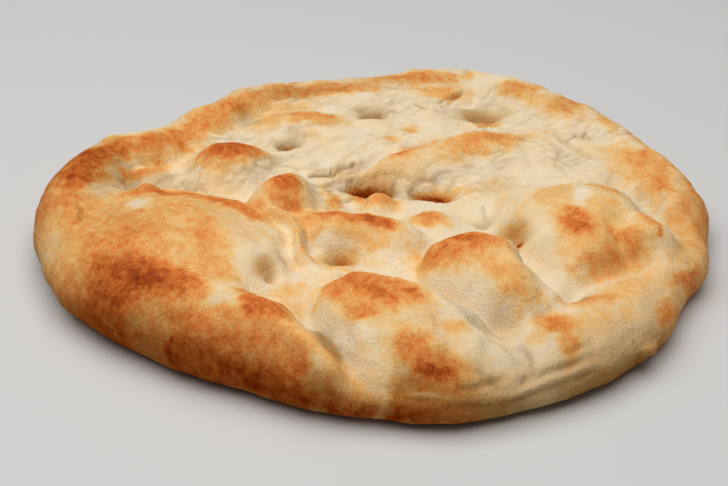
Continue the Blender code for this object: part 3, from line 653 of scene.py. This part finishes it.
def top_height(x, y):
    """Height of the loaf's top over the plan, before its edge is rounded."""
    sway_x, sway_y = (SWAY * waves(x, y, SWAY_WAVES, seed) for seed in SWAY_SEEDS)
    x, y = x + sway_x, y + sway_y
    forms = [rim_height(x, y)]
    forms += [pillow_height(x, y, pillow) for pillow in PILLOWS]
    forms += [roll_height(x, y, roll) for roll in ROLLS]
    height = merged([merged(forms, MERGE), ground_height(x, y)], MERGE_WITH_GROUND)
    height += SWELL * waves(x, y, SWELL_WAVES, SWELL_SEED)
    height -= sum(mark_depth(x, y, mark) for mark in MARKS)
    height -= sum(crease_depth(x, y, crease) for crease in CREASES)
    return height


# ---- the mesh ----

def square_to_disk(a, b):
    """Carries the square from -1 to 1 to the unit disk, ring by ring: the share of the way out, and angle."""
    wide = np.abs(a) > np.abs(b)
    reach = np.where(wide, a, b)
    with np.errstate(divide="ignore", invalid="ignore"):
        lean = np.nan_to_num(np.where(wide, b / a, a / b)) * pi / 4
    angle = np.where(wide, lean, pi / 2 - lean) + np.where(reach < 0, pi, 0)
    return np.abs(reach), angle


def top_points(share, angle):
    """Points of the top at a share of the way out along the surface, down to the widest line."""
    azimuth = np.degrees(angle)
    radius = outline(azimuth)
    roll = along_rim(EDGE, azimuth, "roll")
    widest = along_rim(EDGE, azimuth, "widest")
    flat = radius - roll
    travel = share * (flat + EDGE_ARC * roll)
    bend = np.clip((travel - flat) / (EDGE_ARC * roll), 0, 1) * pi / 2
    reach = np.minimum(travel, flat) + roll * np.sin(bend)
    x, y = reach * np.cos(angle), reach * np.sin(angle)
    height = top_height(x, y) - sum(crease_depth(x, y, line) for line in LINES)
    height -= sum(mark_depth(x, y, pit) for pit in PITS)
    return np.column_stack([x, y, widest + (height - widest) * np.cos(bend)])


def edge_points(angle, share):
    """Points of the underside of the edge, from the widest line (share 0) to the base (share 1)."""
    azimuth = np.degrees(angle)
    bend = share * pi / 2
    reach = outline(azimuth) - along_rim(EDGE, azimuth, "tuck") * (1 - cos(bend))
    height = along_rim(EDGE, azimuth, "widest") * (1 - sin(bend))
    return np.column_stack([reach * np.cos(angle), reach * np.sin(angle), height])


def loaf_points_and_faces():
    """The closed loaf in its own frame: a bent grid, rings down round its edge, and a flat base."""
    side = TOP_CELLS + 1
    column, row = np.meshgrid(np.arange(side), np.arange(side))
    share, angle = square_to_disk(2 * column.ravel() / TOP_CELLS - 1, 2 * row.ravel() / TOP_CELLS - 1)
    points = [top_points(share, angle)]
    corner = (np.arange(TOP_CELLS)[:, None] * side + np.arange(TOP_CELLS)).ravel()
    faces = np.column_stack([corner, corner + 1, corner + side + 1, corner + side]).tolist()

    steps = np.arange(TOP_CELLS)
    ring = np.concatenate([steps, steps * side + TOP_CELLS, TOP_CELLS * side + TOP_CELLS - steps,
                           (TOP_CELLS - steps) * side])
    ring_angle = angle[ring]
    for step in range(1, EDGE_RINGS + 1):
        lower = side * side + (step - 1) * len(ring_angle) + np.arange(len(ring_angle))
        points.append(edge_points(ring_angle, step / EDGE_RINGS))
        faces += np.column_stack([ring, lower, np.roll(lower, -1), np.roll(ring, -1)]).tolist()
        ring = lower
    faces.append(ring[::-1].tolist())
    return np.concatenate(points), faces


# ---- randomness ----

def noise(points, seed):
    """Smooth gradient noise over space, about -1 to 1, with bumps about one unit across."""
    draw = np.random.RandomState(seed)
    order = draw.permutation(NOISE_SLOPES)
    slopes = draw.normal(size=(NOISE_SLOPES, 3))
    slopes /= np.linalg.norm(slopes, axis=1)[:, None]
    cell = np.floor(points).astype(int)
    part = points - cell
    eased = part ** 3 * (part * (part * 6 - 15) + 10)
    total = np.zeros(len(points))
    for corner in product((0, 1), repeat=3):
        key = 0
        for axis in range(3):
            key = order[(key + cell[:, axis] + corner[axis]) % NOISE_SLOPES]
        weight = np.prod(np.where(corner, eased, 1 - eased), axis=1)
        total += weight * np.sum(slopes[key] * (part - corner), axis=1)
    return NOISE_GAIN * total


def layered_noise(points, seed, octaves):
    """Noise with finer and weaker noise on top."""
    return sum(noise(points * 2 ** k, seed + OCTAVE_SEEDS * k) / 2 ** k for k in range(octaves))


def layer_noise(points, layer):
    """One layer of unevenness at each point."""
    return layer.strength * layered_noise(points / layer.size, layer.seed, layer.octaves)


def seam_depth(points, seam):
    """Depth of one seam at each point of the skin."""
    path = np.array(seam.path, float)
    shares = shares_along(path)
    depth = np.zeros(len(points))
    for start, run, first, last in zip(path, np.diff(path, axis=0), shares[:-1], shares[1:]):
        part = np.clip((points - start) @ run / (run @ run), 0, 1)
        fade = fade_at_ends(first + part * (last - first), SEAM_END_DEPTH)
        nearest = np.linalg.norm(points - start - part[:, None] * run, axis=1)
        depth = np.maximum(depth, fade * np.exp(-(nearest / seam.half_width) ** 2))
    return seam.depth * depth


def wrinkle_depth(points, wrinkles):
    """Depth of one set of wrinkles, in millimetres, strong in some places and missing in others."""
    x, y, z = points.T
    along, across = turned(x, y, wrinkles.turn)
    scaled = np.column_stack([along / wrinkles.long, across / wrinkles.wide, z / wrinkles.wide])
    line = np.exp(-(layered_noise(scaled, wrinkles.seed, 2) / wrinkles.sharpness) ** 2)
    where = ease(noise(points / WRINKLED_SIZE, wrinkles.seed + WRINKLED_SEED), *WRINKLED_NOISE)
    return wrinkles.depth * line * where * ease(y, *WRINKLES_FADE)


# ---- tone ----

def patch_distance(points, patch, seed):
    """Distance from a patch's centre as a share of its size, with noise that frays its edge."""
    x, y, _ = points.T
    along, across = turned(x - patch.x, y - patch.y, patch.turn)
    distance = np.hypot(along / patch.long, across / patch.wide)
    near = distance < PATCH_REACH
    distance[near] += PATCH_FRAY * layered_noise(points[near] / PATCH_FRAY_SIZE, seed, 3)
    return distance


def local_height(points):
    """How far each point stands above the dough around it."""
    step, reach = AROUND_STEP, AROUND_REACH
    ticks = np.arange(-reach, reach + step, step)
    x, y = np.meshgrid(ticks, ticks)
    inside = azimuth_and_inset(x, y)[1] > AROUND_INSET
    bell = np.exp(-(np.arange(-AROUND_CELLS, AROUND_CELLS + 1) * step / AROUND_BELL) ** 2)
    total, weight = inside * top_height(x, y), inside.astype(float)
    for axis in (0, 1):
        total = np.apply_along_axis(np.convolve, axis, total, bell, "same")
        weight = np.apply_along_axis(np.convolve, axis, weight, bell, "same")
    mean = total / np.maximum(weight, TINY)
    place = (points[:, :2] + reach) / step
    column, row = place.astype(int).T
    u, v = place.T - (column, row)
    smooth = (mean[row, column] * (1 - u) * (1 - v) + mean[row, column + 1] * u * (1 - v)
              + mean[row + 1, column] * (1 - u) * v + mean[row + 1, column + 1] * u * v)
    return points[:, 2] - smooth


def painted(tone, points, patches, seed):
    """Paints patches over a tone, each with a halo where it is brown."""
    for index, patch in enumerate(patches):
        distance = patch_distance(points, patch, seed + index)
        if patch.tone > HALO_FROM:
            cover = HALO_COVER * (1 - ease(distance, *HALO_SPAN))
            tone = tone * (1 - cover) + np.maximum(HALO_TONE, tone) * cover
        cover = 1 - ease(distance, 1 - PATCH_SOFTNESS, 1 + PATCH_SOFTNESS)
        tone = tone * (1 - cover) + patch.tone * cover
    return tone


def stroked(tone, points, strokes, seed):
    """Paints thin strokes over a tone."""
    x, y, _ = points.T
    for index, stroke in enumerate(strokes):
        distance = np.min([reach for reach, _ in segments(x, y, stroke.path)], axis=0)
        near = distance < STROKE_REACH * stroke.half_width
        fray = STROKE_FRAY * layered_noise(points[near] / STROKE_FRAY_SIZE, seed + index, 2)
        frayed = distance[near] / stroke.half_width + fray
        cover = 1 - ease(frayed, 1 - STROKE_SOFTNESS, 1 + STROKE_SOFTNESS)
        tone[near] = tone[near] * (1 - cover) + stroke.tone * cover
    return tone


def tone_of(points):
    """How brown the crust is at each point of the loaf, 0 to 1, with painted shade and light in places."""
    x, y, z = points.T
    azimuth, inset = azimuth_and_inset(x, y)
    tone = BASE_TONE + RAISED_TONE * ease(local_height(points), *RAISED)
    tone += layer_noise(points, CLOUDS)
    tone = painted(tone, points, PATCHES, PATCH_SEED)
    tone = stroked(tone, points, STROKES, STROKE_SEED)
    # dark patches at the bottom of the hole: partly brown crust, partly painted shade
    deep = 1 - ease(z, *DEEP_HEIGHTS)
    tone = tone * (1 - deep) + painted(tone, points, DEEP_PATCHES, DEEP_SEED) * deep
    # painted shade: marks and pits are browner
    tone += PIT_SHADE_TONE * pit_share(x, y)
    # the side's tone: the crust's brown, browner in places to paint shade
    widest = along_rim(EDGE, azimuth, "widest")
    low, high = along_rim(SIDES, azimuth, "low"), along_rim(SIDES, azimuth, "high")
    share = ease(z / widest, *SIDE_TURN)
    side = low * (1 - share) + high * share
    onto_side = 1 - ease(inset + layer_noise(points, SIDE_FRAY), *SIDE_INSETS)
    tone = tone * (1 - onto_side) + side * onto_side
    tone = painted(tone, points, EDGE_PATCHES, EDGE_SEED)
    tone += layer_noise(points, SPECKS) * ease(tone, *SPECK_TONES)
    c, s = STREAK_WAY
    streaky = np.column_stack([x * c - y * s, x * s + y * c, z])
    tone += layer_noise(streaky, STREAKS) * ease(tone, *STREAK_TONES)
    return np.clip(tone, 0, 1)


def pit_share(x, y):
    """Depth of the finger marks and pits over the plan, as a share of PIT_DEPTH."""
    return sum(mark_depth(x, y, mark) for mark in MARKS + PITS) / PIT_DEPTH


def painted_shade_of(points):
    """Shade painted into the crust at each point: in marks and creases, in shaded places, and low on its
    side.
    """
    x, y, z = points.T
    creases = sum(crease_depth(x, y, crease) for crease in CREASES) / CREASE_DEPTH
    cuts = sum(crease_depth(x, y, line) for line in LINES if line.depth > 0) / CUT_DEPTH
    azimuth, inset = azimuth_and_inset(x, y)
    # painted shade low on the side
    low = (1 - ease(z, *LOW_HEIGHTS)) * (1 - ease(inset, *LOW_INSETS))
    low *= along_rim(SIDES, azimuth, "dull")
    seams = sum(seam_depth(points, seam) for seam in SEAMS if seam.depth > 0) / CUT_DEPTH
    # patches and thin lines of painted shade
    shaded = painted(np.zeros(len(points)), points, PAINTED_SHADE_PATCHES, PAINTED_SHADE_SEED)
    shaded = stroked(shaded, points, PAINTED_SHADE_STROKES, SHADE_STROKE_SEED)
    # painted shade at the bottom of the hole
    shaded += DEEP_SHADE * (1 - ease(z, *DEEP_HEIGHTS)) * (inset > LOW_INSETS[1])
    return pit_share(x, y) + creases + cuts + seams + shaded + low


# ---- finish ----

def new_material(name):
    """A material and its shader."""
    material = bpy.data.materials.new(name)
    material.use_nodes = True
    return material, material.node_tree.nodes["Principled BSDF"]


def crust_material():
    """Baked dough: the painted tone, mottled finely, looked up in CRUST and darkened by painted shade, with a
    finely blistered skin.
    """
    material, shader = new_material("baked_crust")
    nodes, links = material.node_tree.nodes, material.node_tree.links
    place = nodes.new("ShaderNodeTexCoord").outputs["Object"]

    def attribute(name):
        node = nodes.new("ShaderNodeAttribute")
        node.attribute_name = name
        return node.outputs["Fac"]

    def noisy(speckle):
        node = nodes.new("ShaderNodeTexNoise")
        for name, number in zip(("Scale", "Detail", "Roughness"), speckle):
            node.inputs[name].default_value = number
        links.new(place, node.inputs["Vector"])
        return node.outputs["Fac"]

    def fitted(value, span):
        node = nodes.new("ShaderNodeMapRange")
        for name, number in zip(("From Min", "From Max", "To Min", "To Max"), span):
            node.inputs[name].default_value = number
        links.new(value, node.inputs["Value"])
        return node.outputs["Result"]

    def math(operation, first, second):
        node = nodes.new("ShaderNodeMath")
        node.operation = operation
        for socket, value in zip(node.inputs, (first, second)):
            if isinstance(value, (int, float)):
                socket.default_value = value
            else:
                links.new(value, socket)
        return node.outputs[0]

    tone, painted_shade = attribute("tone"), attribute("painted_shade")
    mottle = math("MULTIPLY", math("SUBTRACT", noisy(MOTTLE), 0.5), fitted(tone, MOTTLE_BY_TONE))
    mottled = math("ADD", tone, mottle)

    ramp = nodes.new("ShaderNodeValToRGB")
    stops = ramp.color_ramp.elements
    stops[1].position = CRUST[-1].tone
    for stop in CRUST[1:-1]:
        stops.new(stop.tone)
    for element, stop in zip(stops, CRUST):
        element.color = (stop.red, stop.red * stop.green, stop.red * stop.blue, 1)
    links.new(mottled, ramp.inputs["Fac"])

    shade = nodes.new("ShaderNodeMix")
    shade.data_type = "RGBA"
    shade.blend_type = "MULTIPLY"
    amount_in, colour_in, shade_in = (socket for socket in shade.inputs if socket.enabled)
    colour_out, = (socket for socket in shade.outputs if socket.enabled)
    blistered = math("MULTIPLY", fitted(noisy(BLISTERS), BLISTER_BY_NOISE), tone)
    dark_blisters = math("MULTIPLY", blistered, BLISTER_SHADE)
    # painted shade: the crust's colour is multiplied darker where the painted shade is high
    painted_shading = math("MULTIPLY", painted_shade, PAINTED_SHADE_STRENGTH)
    links.new(math("ADD", painted_shading, dark_blisters), amount_in)
    links.new(ramp.outputs["Color"], colour_in)
    shade_in.default_value = (*SHADE_AND_BLISTER_COLOUR, 1)
    links.new(colour_out, shader.inputs["Base Color"])

    links.new(fitted(mottled, ROUGHNESS_BY_TONE), shader.inputs["Roughness"])
    # painted shade also takes the sheen away
    gloss = math("MULTIPLY", math("SUBTRACT", 1.0, painted_shade), SHEEN)
    links.new(gloss, shader.inputs["Specular IOR Level"])
    bump = nodes.new("ShaderNodeBump")
    bump.inputs["Strength"].default_value = PORE_STRENGTH
    bump.inputs["Distance"].default_value = PORE_DEPTH
    links.new(noisy(PORES), bump.inputs["Height"])
    links.new(bump.outputs["Normal"], shader.inputs["Normal"])
    return material


# ---- the pieces ----

def new_object(name, data):
    """An object in the scene."""
    thing = bpy.data.objects.new(name, data)
    bpy.context.scene.collection.objects.link(thing)
    return thing


def make_loaf():
    """The detailed loaf, in the solid's place. Returns the shift from the loaf's own frame, in metres."""
    points, faces = loaf_points_and_faces()
    middle = (points.min(axis=0) + points.max(axis=0)) / 2
    shift = np.array([-middle[0], -middle[1], 0])

    mesh = bpy.data.meshes.new("crust")
    mesh.from_pydata(points.tolist(), [], faces)
    normals = np.empty(len(points) * 3)
    mesh.vertex_normals.foreach_get("vector", normals)
    normals = normals.reshape(-1, 3)
    tone = tone_of(points)

    brown = ease(tone, *BROWN_TONES)
    relief = layer_noise(points, SKIN) + layer_noise(points, CONTOURS) * (1 - brown)
    relief += layer_noise(points, GRAIN)
    creased = sum(wrinkle_depth(points, wrinkles) for wrinkles in WRINKLES) * (1 - BROWN_WRINKLES * brown)
    relief -= creased + sum(seam_depth(points, seam) for seam in SEAMS)
    relief *= ease(points[:, 2], *BASE_CLEAR)
    points += normals * relief[:, None] + shift
    mesh.vertices.foreach_set("co", (points * MM).ravel())
    # painted shade: wrinkles, marks, creases, lines, seams, shaded patches and the low side darken the crust
    painted_shade = np.clip(WRINKLE_SHADE * creased + painted_shade_of(points - shift), 0, 1)
    for name, values in (("tone", tone), ("painted_shade", painted_shade)):
        mesh.attributes.new(name, "FLOAT", "POINT").data.foreach_set("value", values)
    mesh.shade_smooth()
    mesh.materials.append(crust_material())
    mesh.update()
    loaf = new_object("crust", mesh)
    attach(loaf, "root")
    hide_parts("bread")
    return shift * MM


def make_floor():
    """A plain pale floor."""
    half = FLOOR_SIZE / 2
    mesh = bpy.data.meshes.new("floor")
    mesh.from_pydata([(-half, -half, 0), (half, -half, 0), (half, half, 0), (-half, half, 0)], [],
                     [(0, 1, 2, 3)])
    material, shader = new_material("pale_floor")
    shader.inputs["Base Color"].default_value = FLOOR_COLOUR
    shader.inputs["Roughness"].default_value = FLOOR_ROUGHNESS
    mesh.materials.append(material)
    floor = new_object("floor", mesh)


def aim(thing, place, target):
    """Puts a camera or light at a place, looking at a target."""
    thing.location = place
    thing.rotation_mode = "QUATERNION"
    thing.rotation_quaternion = (Vector(target) - Vector(place)).to_track_quat("-Z", "Y")


def make_light():
    """A soft square lamp that points at the loaf, and even light from all round."""
    lamp = bpy.data.lights.new("key", "AREA")
    lamp.size = KEY_SIZE
    lamp.energy = KEY_POWER
    aim(new_object("key", lamp), KEY_PLACE, (0, 0, 0))

    world = bpy.data.worlds.new("studio")
    world.use_nodes = True
    background = world.node_tree.nodes["Background"]
    background.inputs["Color"].default_value = WORLD_COLOUR
    background.inputs["Strength"].default_value = WORLD_STRENGTH
    bpy.context.scene.world = world


def make_camera(shift):
    """The photograph's view of the loaf."""
    lens = bpy.data.cameras.new("camera")
    lens.lens = CAMERA_LENS
    camera = new_object("camera", lens)
    elevation = radians(CAMERA_ELEVATION)
    target = Vector(CAMERA_TARGET) + Vector(shift)
    aim(camera, target + CAMERA_DISTANCE * Vector((0, -cos(elevation), sin(elevation))), target)
    bpy.context.scene.camera = camera


bpy.context.scene.view_settings.view_transform = "Standard"
loaf_shift = make_loaf()
make_floor()
make_light()
make_camera(loaf_shift)
